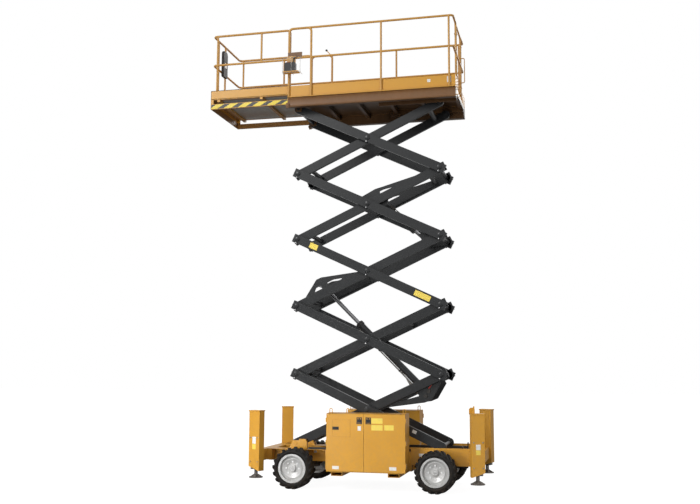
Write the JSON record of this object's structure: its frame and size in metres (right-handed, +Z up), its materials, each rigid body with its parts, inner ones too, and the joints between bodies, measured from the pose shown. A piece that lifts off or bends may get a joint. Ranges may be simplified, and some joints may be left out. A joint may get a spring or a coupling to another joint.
{
  "type": "scissor lift",
  "caption": "Rough-terrain scissor lift, partly raised: crossed arm stack on a wheeled chassis with side cabinets and corner outriggers, and a guarded deck with a roll-out end",
  "frame": {"origin": "on the ground, midway between the four wheels", "axes": "+X along the machine; the steered wheels, the fixed pivots of the scissor and the roll-out deck are at the -X end; +Y across; +Z up"},
  "size_m": [4.6841, 1.89, 7.709],
  "materials": {
    "body_paint": "satin yellow paint",
    "rail_paint": "satin yellow paint",
    "arm_paint": "satin charcoal paint",
    "tyre": "lugged rubber",
    "rim": "silver paint",
    "chrome": "hard chrome",
    "black_plastic": "textured",
    "dark_metal": "painted casting",
    "leg_steel": "bare steel"
  },
  "bodies": {
    "chassis": {"chassis_frame": "body_paint", "engine_block": "dark_metal", "axle_front": "dark_metal", "axle_rear": "dark_metal", "roller_track_near": "arm_paint", "roller_track_far": "arm_paint", "cabinet_near": "body_paint", "cabinet_far": "body_paint", "outrigger_housing_left_near": "body_paint", "outrigger_housing_left_far": "body_paint", "outrigger_housing_right_near": "body_paint", "outrigger_housing_right_far": "body_paint"},
    "inner_1": {"inner_arm_1": "arm_paint"},
    "outer_1": {"outer_arm_1": "arm_paint"},
    "inner_2": {"inner_arm_2": "arm_paint"},
    "outer_2": {"outer_arm_2": "arm_paint"},
    "inner_3": {"inner_arm_3": "arm_paint"},
    "outer_3": {"outer_arm_3": "arm_paint"},
    "inner_4": {"inner_arm_4": "arm_paint"},
    "outer_4": {"outer_arm_4": "arm_paint"},
    "inner_5": {"inner_arm_5": "arm_paint"},
    "outer_5": {"outer_arm_5": "arm_paint"},
    "platform": {"platform_deck": "body_paint", "platform_rails_near": "rail_paint", "platform_rails_far": "rail_paint", "control_box": "black_plastic"},
    "lower_barrel": {"lower_cylinder_barrel": "arm_paint"},
    "lower_rod": {"lower_cylinder_rod": "chrome"},
    "upper_barrel": {"upper_cylinder_barrel": "arm_paint"},
    "upper_rod": {"upper_cylinder_rod": "chrome"},
    "knuckle_near": {"knuckle_near": "dark_metal"},
    "wheel_front_near": {"tyre_front_near": "tyre", "rim_front_near": "rim"},
    "wheel_rear_near": {"tyre_rear_near": "tyre", "rim_rear_near": "rim"},
    "door_near_left": {"door_near_left": "body_paint"},
    "door_near_right": {"door_near_right": "body_paint"},
    "leg_left_near": {"outrigger_leg_left_near": "leg_steel"},
    "leg_right_near": {"outrigger_leg_right_near": "leg_steel"},
    "knuckle_far": {"knuckle_far": "dark_metal"},
    "wheel_front_far": {"tyre_front_far": "tyre", "rim_front_far": "rim"},
    "wheel_rear_far": {"tyre_rear_far": "tyre", "rim_rear_far": "rim"},
    "door_far_left": {"door_far_left": "body_paint"},
    "door_far_right": {"door_far_right": "body_paint"},
    "leg_left_far": {"outrigger_leg_left_far": "leg_steel"},
    "leg_right_far": {"outrigger_leg_right_far": "leg_steel"},
    "gate": {"platform_gate": "rail_paint"},
    "extension": {"extension_deck": "body_paint", "extension_rails": "rail_paint", "manual_box": "black_plastic"}
  },
  "joints": [
    {"name": "lift", "type": "hinge", "parent": "chassis", "child": "inner_1", "pos_m": [-1.20765, 0, 0.69], "axis": [0, -1, 0], "range_deg": [-21, 31.5]},
    {"name": "centre_pin_1", "type": "hinge", "parent": "inner_1", "child": "outer_1", "pos_m": [0, 0, 1.25314], "axis": [0, -1, 0], "range_deg": [-64, 43]},
    {"name": "end_pin_1", "type": "hinge", "parent": "outer_1", "child": "inner_2", "pos_m": [-1.20765, 0, 1.81628], "axis": [0, -1, 0], "range_deg": [-43, 64]},
    {"name": "centre_pin_2", "type": "hinge", "parent": "inner_2", "child": "outer_2", "pos_m": [0, 0, 2.37942], "axis": [0, -1, 0], "range_deg": [-64, 43]},
    {"name": "end_pin_2", "type": "hinge", "parent": "outer_2", "child": "inner_3", "pos_m": [-1.20765, 0, 2.94256], "axis": [0, -1, 0], "range_deg": [-43, 64]},
    {"name": "centre_pin_3", "type": "hinge", "parent": "inner_3", "child": "outer_3", "pos_m": [0, 0, 3.50569], "axis": [0, -1, 0], "range_deg": [-64, 43]},
    {"name": "end_pin_3", "type": "hinge", "parent": "outer_3", "child": "inner_4", "pos_m": [-1.20765, 0, 4.06883], "axis": [0, -1, 0], "range_deg": [-43, 64]},
    {"name": "centre_pin_4", "type": "hinge", "parent": "inner_4", "child": "outer_4", "pos_m": [0, 0, 4.63197], "axis": [0, -1, 0], "range_deg": [-64, 43]},
    {"name": "end_pin_4", "type": "hinge", "parent": "outer_4", "child": "inner_5", "pos_m": [-1.20765, 0, 5.19511], "axis": [0, -1, 0], "range_deg": [-43, 64]},
    {"name": "centre_pin_5", "type": "hinge", "parent": "inner_5", "child": "outer_5", "pos_m": [0, 0, 5.75825], "axis": [0, -1, 0], "range_deg": [-64, 43]},
    {"name": "platform_pin", "type": "hinge", "parent": "outer_5", "child": "platform", "pos_m": [-1.20765, 0, 6.32139], "axis": [0, -1, 0], "range_deg": [-22, 32.5]},
    {"name": "lower_cylinder_tilt", "type": "hinge", "parent": "inner_1", "child": "lower_barrel", "pos_m": [0.95216, 0, 1.47095], "axis": [0, -1, 0], "range_deg": [-57.7, 38.8]},
    {"name": "lower_cylinder_stroke", "type": "slide", "parent": "lower_barrel", "child": "lower_rod", "axis": [-0.7058, 0, 0.7084], "range_m": [-0.5585, 0.8367]},
    {"name": "upper_cylinder_tilt", "type": "hinge", "parent": "inner_4", "child": "upper_barrel", "pos_m": [0.24044, 0, 4.63927], "axis": [0, -1, 0], "range_deg": [-73.4, 49.3]},
    {"name": "upper_cylinder_stroke", "type": "slide", "parent": "upper_barrel", "child": "upper_rod", "axis": [0.7497, 0, -0.6618], "range_m": [-0.107, 0.1595]},
    {"name": "steer_near", "type": "hinge", "parent": "chassis", "child": "knuckle_near", "pos_m": [-1.145, -0.65, 0.325], "axis": [0, 0, 1], "range_deg": [-25, 25]},
    {"name": "roll_front_near", "type": "hinge", "parent": "knuckle_near", "child": "wheel_front_near", "pos_m": [-1.145, -0.735, 0.325], "axis": [0, 1, 0], "continuous": true},
    {"name": "roll_rear_near", "type": "hinge", "parent": "chassis", "child": "wheel_rear_near", "pos_m": [1.145, -0.735, 0.325], "axis": [0, 1, 0], "continuous": true},
    {"name": "door_near_left_hinge", "type": "hinge", "parent": "chassis", "child": "door_near_left", "pos_m": [-0.574, -0.895, 0.755], "axis": [0, 0, -1], "range_deg": [0, 110]},
    {"name": "door_near_right_hinge", "type": "hinge", "parent": "chassis", "child": "door_near_right", "pos_m": [0.702, -0.895, 0.755], "axis": [0, 0, 1], "range_deg": [0, 110]},
    {"name": "leg_left_near_slide", "type": "slide", "parent": "chassis", "child": "leg_left_near", "axis": [0, 0, -1], "range_m": [0, 0.3]},
    {"name": "leg_right_near_slide", "type": "slide", "parent": "chassis", "child": "leg_right_near", "axis": [0, 0, -1], "range_m": [0, 0.3]},
    {"name": "steer_far", "type": "hinge", "parent": "chassis", "child": "knuckle_far", "pos_m": [-1.145, 0.65, 0.325], "axis": [0, 0, 1], "range_deg": [-25, 25]},
    {"name": "roll_front_far", "type": "hinge", "parent": "knuckle_far", "child": "wheel_front_far", "pos_m": [-1.145, 0.735, 0.325], "axis": [0, 1, 0], "continuous": true},
    {"name": "roll_rear_far", "type": "hinge", "parent": "chassis", "child": "wheel_rear_far", "pos_m": [1.145, 0.735, 0.325], "axis": [0, 1, 0], "continuous": true},
    {"name": "door_far_left_hinge", "type": "hinge", "parent": "chassis", "child": "door_far_left", "pos_m": [-0.574, 0.895, 0.755], "axis": [0, 0, 1], "range_deg": [0, 110]},
    {"name": "door_far_right_hinge", "type": "hinge", "parent": "chassis", "child": "door_far_right", "pos_m": [0.702, 0.895, 0.755], "axis": [0, 0, -1], "range_deg": [0, 110]},
    {"name": "leg_left_far_slide", "type": "slide", "parent": "chassis", "child": "leg_left_far", "axis": [0, 0, -1], "range_m": [0, 0.3]},
    {"name": "leg_right_far_slide", "type": "slide", "parent": "chassis", "child": "leg_right_far", "axis": [0, 0, -1], "range_m": [0, 0.3]},
    {"name": "gate_hinge", "type": "hinge", "parent": "platform", "child": "gate", "pos_m": [1.482, -0.3, 7.1], "axis": [0, 0, 1], "range_deg": [0, 90]},
    {"name": "deck_extension", "type": "slide", "parent": "platform", "child": "extension", "axis": [1, 0, 0], "range_m": [0, 1.395]}
  ],
  "couplings": [
    {"joint": "centre_pin_1", "follows": "lift", "ratio": -2},
    {"joint": "end_pin_1", "follows": "lift", "ratio": 2},
    {"joint": "centre_pin_2", "follows": "lift", "ratio": -2},
    {"joint": "end_pin_2", "follows": "lift", "ratio": 2},
    {"joint": "centre_pin_3", "follows": "lift", "ratio": -2},
    {"joint": "end_pin_3", "follows": "lift", "ratio": 2},
    {"joint": "centre_pin_4", "follows": "lift", "ratio": -2},
    {"joint": "end_pin_4", "follows": "lift", "ratio": 2},
    {"joint": "centre_pin_5", "follows": "lift", "ratio": -2},
    {"joint": "platform_pin", "follows": "lift", "ratio": 1},
    {"joint": "lower_cylinder_tilt", "follows": "lift", "ratio": -1.8},
    {"joint": "lower_cylinder_stroke", "follows": "lift", "m_per_rad": 1.5183},
    {"joint": "upper_cylinder_tilt", "follows": "lift", "ratio": -2.3},
    {"joint": "upper_cylinder_stroke", "follows": "lift", "m_per_rad": 0.28648},
    {"joint": "steer_far", "follows": "steer_near", "ratio": 1}
  ]
}
